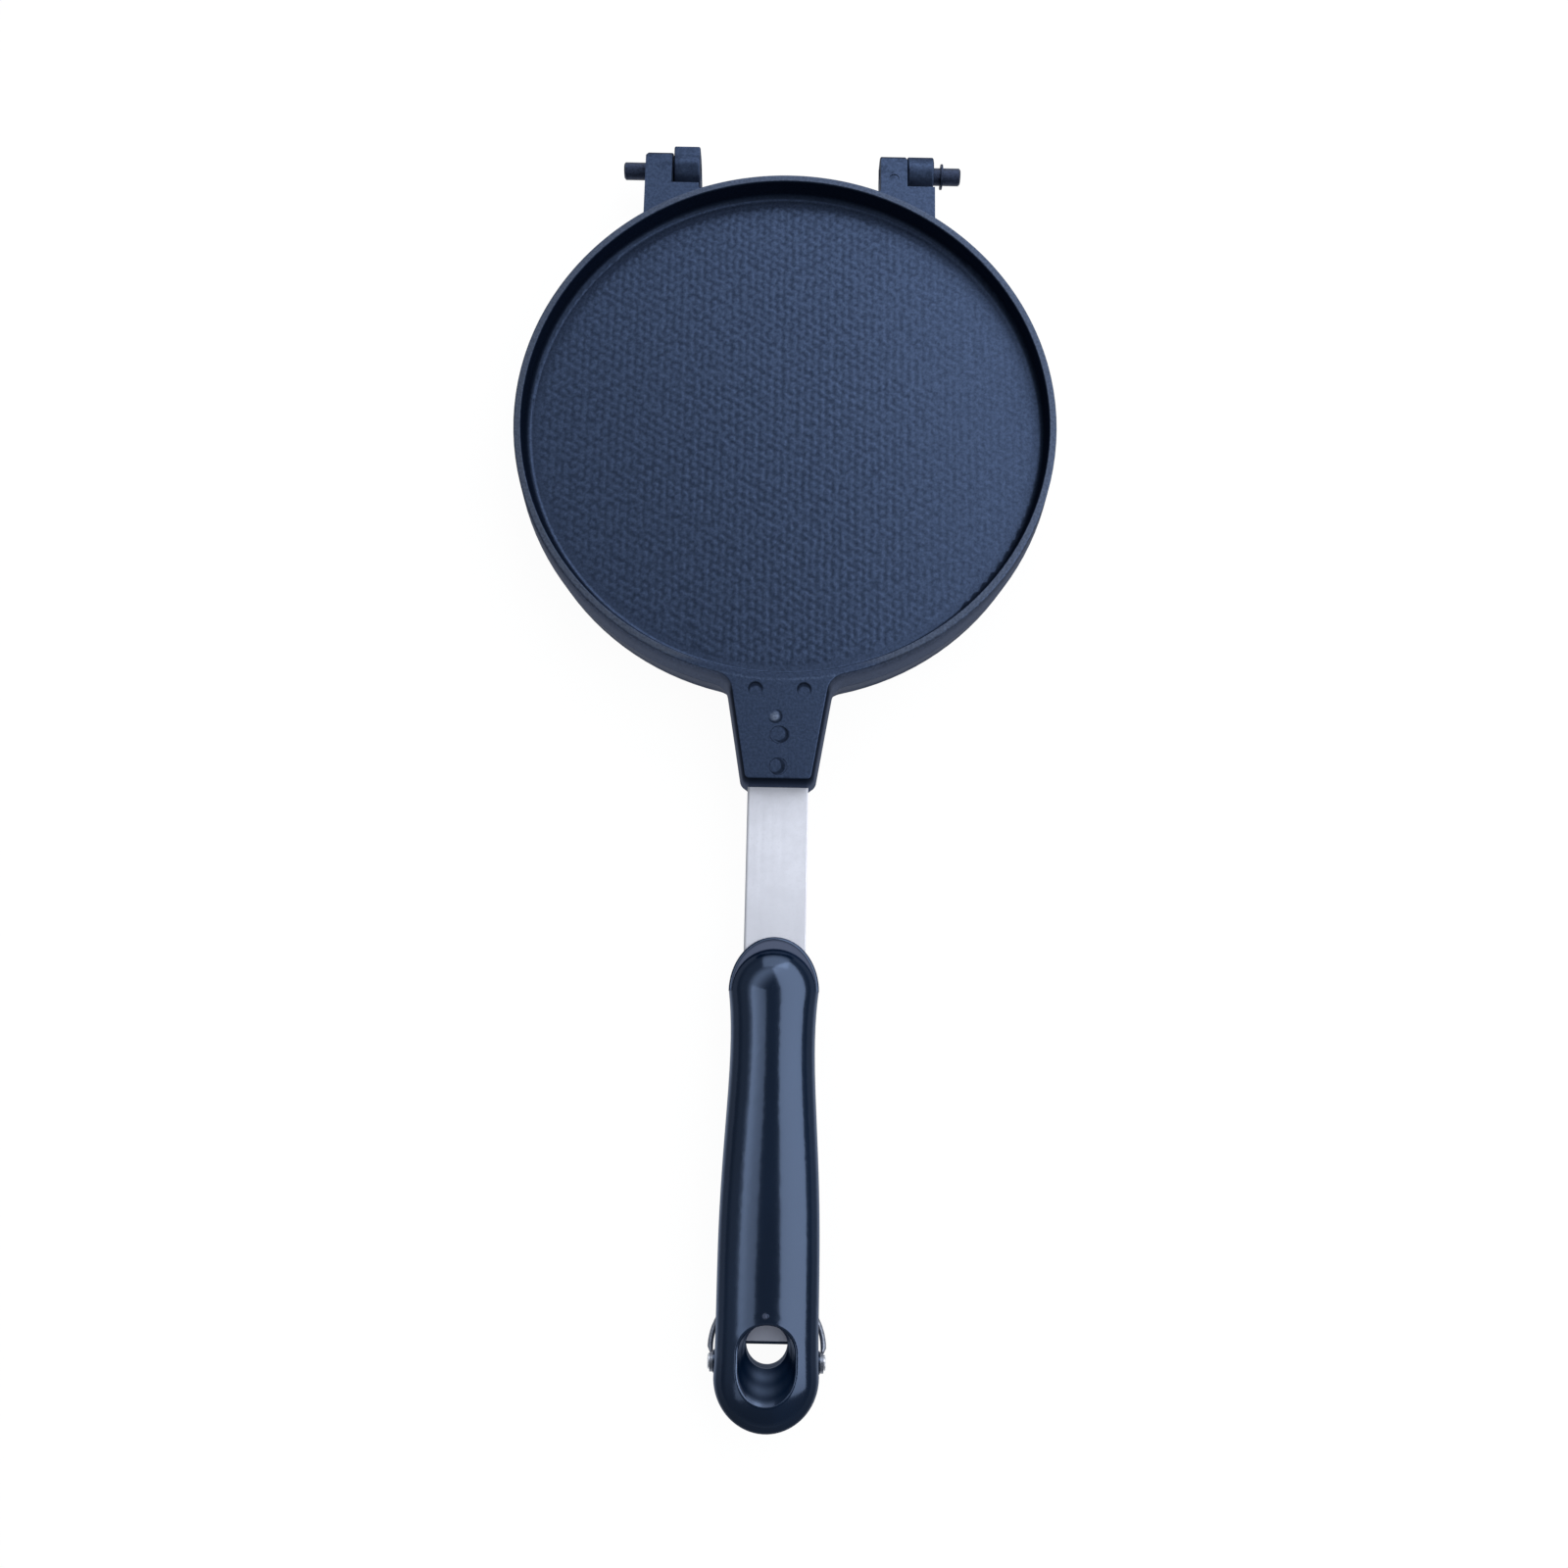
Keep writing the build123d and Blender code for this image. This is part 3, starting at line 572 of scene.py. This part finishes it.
def reliefTree():
    tree = bpy.data.node_groups.new("castRelief", "GeometryNodeTree")
    face = tree.interface
    face.new_socket("Geometry", in_out="INPUT", socket_type="NodeSocketGeometry")
    for name, value in relief["inputs"].items():
        kind = "NodeSocketInt" if isinstance(value, int) else "NodeSocketFloat"
        face.new_socket(name, in_out="INPUT", socket_type=kind)
    face.new_socket("Look", in_out="INPUT", socket_type="NodeSocketMaterial")
    face.new_socket("Geometry", in_out="OUTPUT", socket_type="NodeSocketGeometry")
    sig = Signal(tree)
    given = tree.nodes.new("NodeGroupInput")
    inputs = {socket.name: Signal(tree, socket) for socket in given.outputs if socket.name}
    reach = inputs["Radius"]
    width = 2.0 * reach
    count = width / inputs["Spacing"]
    gridValues = {"Size X": width, "Size Y": width, "Vertices X": count, "Vertices Y": count}
    grid = sig.node("GeometryNodeMeshGrid", {}, gridValues)
    place = sig.node("GeometryNodeInputPosition")
    radius = sig.node("ShaderNodeVectorMath", {"operation": "LENGTH"}, {0: place}, 1)
    outside = sig.node("FunctionNodeCompare", {"operation": "GREATER_THAN"}, {0: radius, 1: reach})
    cut = {"Geometry": grid, "Selection": outside}
    disc = sig.node("GeometryNodeDeleteGeometry", {"domain": "POINT"}, cut)

    # The pattern drifts a little, as in a hand-cut mould, and some ridges are lower
    offset = sig.node("ShaderNodeCombineXYZ", {}, {"Z": inputs["Seed"]})
    seeded = sig.node("ShaderNodeVectorMath", {"operation": "ADD"}, {0: place, 1: offset})
    driftX = noise(sig, seeded, *relief["driftX"])
    driftY = noise(sig, seeded, *relief["driftY"])
    uneven = noise(sig, seeded, *relief["uneven"])
    streaks = noise(sig, seeded, *relief["streaks"])
    x, y = axesOf(sig, place)[:2]
    x = x + (driftX - 0.5) * inputs["Drift"]
    y = y + (driftY - 0.5) * inputs["Drift"]
    across = x / inputs["Column Pitch"]
    along = y / inputs["Row Pitch"]
    slant, counter = wave(across * 0.5 + along), wave(across * 0.5 - along)
    byColumn, bySlant, byCounter = relief["waves"]
    total = wave(across) * byColumn + slant * bySlant + counter * byCounter
    ridge = total / sum(relief["waves"]) * relief["wavePart"] + 0.5
    ridge = ridge + (uneven - 0.5) * relief["unevenPart"] + (streaks - 0.5) * relief["streakPart"]
    ridge = ridge.highest(0.0).lowest(1.0)
    # It fades towards the recess's wall and is flatter on the right
    fade = radius.rise(reach, reach - inputs["Fade"])
    start, loss = relief["lowSide"]
    fade = fade * (1.0 - x.rise(reach * start, reach) * loss)
    level = inputs["Floor"] + fade * (ridge + relief["least"]) * inputs["Ridge Height"]
    level = level - (1.0 - fade) * relief["sink"] * mm
    flat = sig.node("ShaderNodeVectorMath", {"operation": "MULTIPLY"}, {0: place, 1: (1, 1, 0)})
    lifted = sig.node("ShaderNodeCombineXYZ", {}, {"Z": level})
    target = sig.node("ShaderNodeVectorMath", {"operation": "ADD"}, {0: flat, 1: lifted})
    # How low each point lies, for the painted shade in the relief's hollows
    hollow = fade * ridge.rise(*relief["hollow"])
    named = {"data_type": "FLOAT", "domain": "POINT"}
    kept = {"Geometry": disc, "Name": "hollow", "Value": hollow}
    marked = sig.node("GeometryNodeStoreNamedAttribute", named, kept)
    raised = sig.node("GeometryNodeSetPosition", {}, {"Geometry": marked, "Position": target})
    smooth = sig.node("GeometryNodeSetShadeSmooth", {}, {"Geometry": raised, "Shade Smooth": True})
    solid = sig.node("GeometryNodeRealizeInstances", {}, {"Geometry": smooth})
    painted = sig.node("GeometryNodeSetMaterial", {}, {"Geometry": solid, "Material": inputs["Look"]})
    end = tree.nodes.new("NodeGroupOutput")
    tree.links.new(painted.socket, end.inputs[0])
    return tree


def grownMesh(name, tree, values):
    # Runs a node tree once and keeps the result as a plain mesh
    holder = bpy.data.objects.new(name + "Holder", bpy.data.meshes.new(name + "Start"))
    bpy.context.scene.collection.objects.link(holder)
    modifier = holder.modifiers.new("grow", "NODES")
    modifier.node_group = tree
    for item in tree.interface.items_tree:
        if item.in_out == "INPUT" and item.name in values:
            modifier[item.identifier] = values[item.name]
    bpy.context.view_layer.update()
    graph = bpy.context.evaluated_depsgraph_get()
    mesh = bpy.data.meshes.new_from_object(holder.evaluated_get(graph))
    mesh.name = name
    bpy.data.objects.remove(holder)
    piece = bpy.data.objects.new(name, mesh)
    bpy.context.scene.collection.objects.link(piece)
    return piece


upperRelief = grownMesh("upperRelief", reliefTree(), {**relief["inputs"], "Look": reliefLook})
lowerRelief = bpy.data.objects.new("lowerRelief", upperRelief.data.copy())
bpy.context.scene.collection.objects.link(lowerRelief)
overTurn = Matrix.Translation((0, 0, 2 * parting)) @ Matrix.Rotation(math.pi, 4, "Y")
lowerRelief.data.transform(overTurn)
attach(upperRelief, "upper_half")
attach(lowerRelief, "lower_half")
print("relief:", len(upperRelief.data.polygons), "faces")

# Studio: a long soft box on each side and one behind
studio = {
    "distance": 1.3,
    "middle": Vector((0.0, -0.12, 0.0)),
    "tint": (0.94, 0.97, 1.0),
    # name: (towards, polar angles, length, slide, radiance), angles in degrees, 0 towards is +X
    "boxes": {
        "rightBox": (18, (12, 67), 2.6, 0.0, 2.3),
        "backBox": (87, (47, 84), 1.1, 0.0, 1.5),
        "leftBox": (162, (13, 42), 1.5, 0.85, 1.18),
    },
}


def softBox(name, towards, polar, length, slide, radiance):
    middle = math.radians(sum(polar) / 2)
    width = 2 * studio["distance"] * math.tan(math.radians(polar[1] - polar[0]) / 2)
    data = bpy.data.lights.new(name, "AREA")
    data.shape = "RECTANGLE"
    data.size = width
    data.size_y = length
    data.energy = radiance * math.pi * width * length
    data.color = studio["tint"]
    box = bpy.data.objects.new(name, data)
    bpy.context.scene.collection.objects.link(box)
    turn = Matrix.Rotation(math.radians(towards), 4, "Z") @ Matrix.Rotation(middle, 4, "Y")
    away = Matrix.Translation((0, slide, studio["distance"]))
    box.matrix_world = Matrix.Translation(studio["middle"]) @ turn @ away


for name, values in studio["boxes"].items():
    softBox(name, *values)
print("soft boxes:", len(studio["boxes"]))

# The floor glows for the camera and in reflections, and bounces less light onto the pan
ground = {"reach": 20.0, "glow": 0.955, "paint": 0.05, "bounce": 0.6}
floorMesh = bpy.data.meshes.new("floor")
reach = ground["reach"]
corners = [(-reach, -reach, 0), (reach, -reach, 0), (reach, reach, 0), (-reach, reach, 0)]
floorMesh.from_pydata(corners, [], [(0, 1, 2, 3)])
floor = bpy.data.objects.new("floor", floorMesh)
bpy.context.scene.collection.objects.link(floor)
floorLook, sig = newMaterial("paleFloor")
paths = sig.tree.nodes.new("ShaderNodeLightPath")
seen = Signal(sig.tree, paths.outputs["Is Camera Ray"])
for ray in ("Is Glossy Ray", "Is Transmission Ray"):
    seen = seen.highest(Signal(sig.tree, paths.outputs[ray]))
glow = sig.node("ShaderNodeEmission", {}, {"Color": grey(1.0), "Strength": ground["glow"]})
paint = sig.node("ShaderNodeBsdfDiffuse", {}, {"Color": grey(ground["paint"])})
both = sig.node("ShaderNodeAddShader", {}, {0: glow, 1: paint})
bounce = sig.node("ShaderNodeBsdfDiffuse", {}, {"Color": grey(ground["bounce"])})
shown = sig.node("ShaderNodeMixShader", {}, {0: seen, 1: bounce, 2: both})
sig.node("ShaderNodeOutputMaterial", {}, {"Surface": shown})
floor.data.materials.append(floorLook)

# The room is dim overhead, pale at the horizon and brighter behind on the left
room = {
    "tint": (0.92, 0.96, 1.0, 1.0),
    "horizon": 0.5,
    "overhead": 0.29,
    "wallTop": (0.04, 0.2),  # heights as the sine of the angle above the horizon
    "zenith": (0.72, 0.97),
    "zenithDip": 0.42,
    "leftWay": (-0.75, 0.66),
    "leftSpan": (0.2, 0.6),
    "leftHeight": (0.55, 0.8),
    "leftGain": 5.0,
}
world = bpy.data.worlds.new("studio")
bpy.context.scene.world = world
world.use_nodes = True
world.node_tree.nodes.clear()
sig = Signal(world.node_tree)
across, along, height = axesOf(sig, sig.node("ShaderNodeTexCoord"))
fall = room["horizon"] - room["overhead"]
strength = room["horizon"] - height.rise(*room["wallTop"]) * fall
strength = strength * (1.0 - height.rise(*room["zenith"]) * room["zenithDip"])
behindLeft = across * room["leftWay"][0] + along * room["leftWay"][1]
behindLeft = behindLeft.rise(*room["leftSpan"]) * height.rise(*room["leftHeight"])
strength = strength * (1.0 + behindLeft * room["leftGain"])
sky = sig.node("ShaderNodeBackground", {}, {"Color": room["tint"], "Strength": strength})
sig.node("ShaderNodeOutputWorld", {}, {"Surface": sky})
print("floor and room are in place")

# Camera at the photograph's place: above the plate, leaning towards the hinge
lens = {
    "focal": 31.5,
    "sensor": 36.0,
    "eye": (2.0, -216.0, 461.57),  # in mm
    "tilt": 11.417,
    "roll": 1.097,
    "clip": (0.01, 50.0),  # in m
}
cameraData = bpy.data.cameras.new("photoCamera")
cameraData.lens = lens["focal"]
cameraData.sensor_width = lens["sensor"]
cameraData.clip_start, cameraData.clip_end = lens["clip"]
camera = bpy.data.objects.new("photoCamera", cameraData)
bpy.context.scene.collection.objects.link(camera)
tilt, roll = math.radians(lens["tilt"]), math.radians(lens["roll"])
right = Vector((1, 0, 0))
up = Vector((0, math.cos(tilt), math.sin(tilt)))
back = Vector((0, -math.sin(tilt), math.cos(tilt)))
turnedRight = right * math.cos(roll) + up * math.sin(roll)
turnedUp = up * math.cos(roll) - right * math.sin(roll)
camera.matrix_world = Matrix((turnedRight, turnedUp, back)).transposed().to_4x4()
camera.location = Vector(lens["eye"]) * mm
bpy.context.scene.camera = camera
bpy.context.scene.view_settings.view_transform = "Standard"
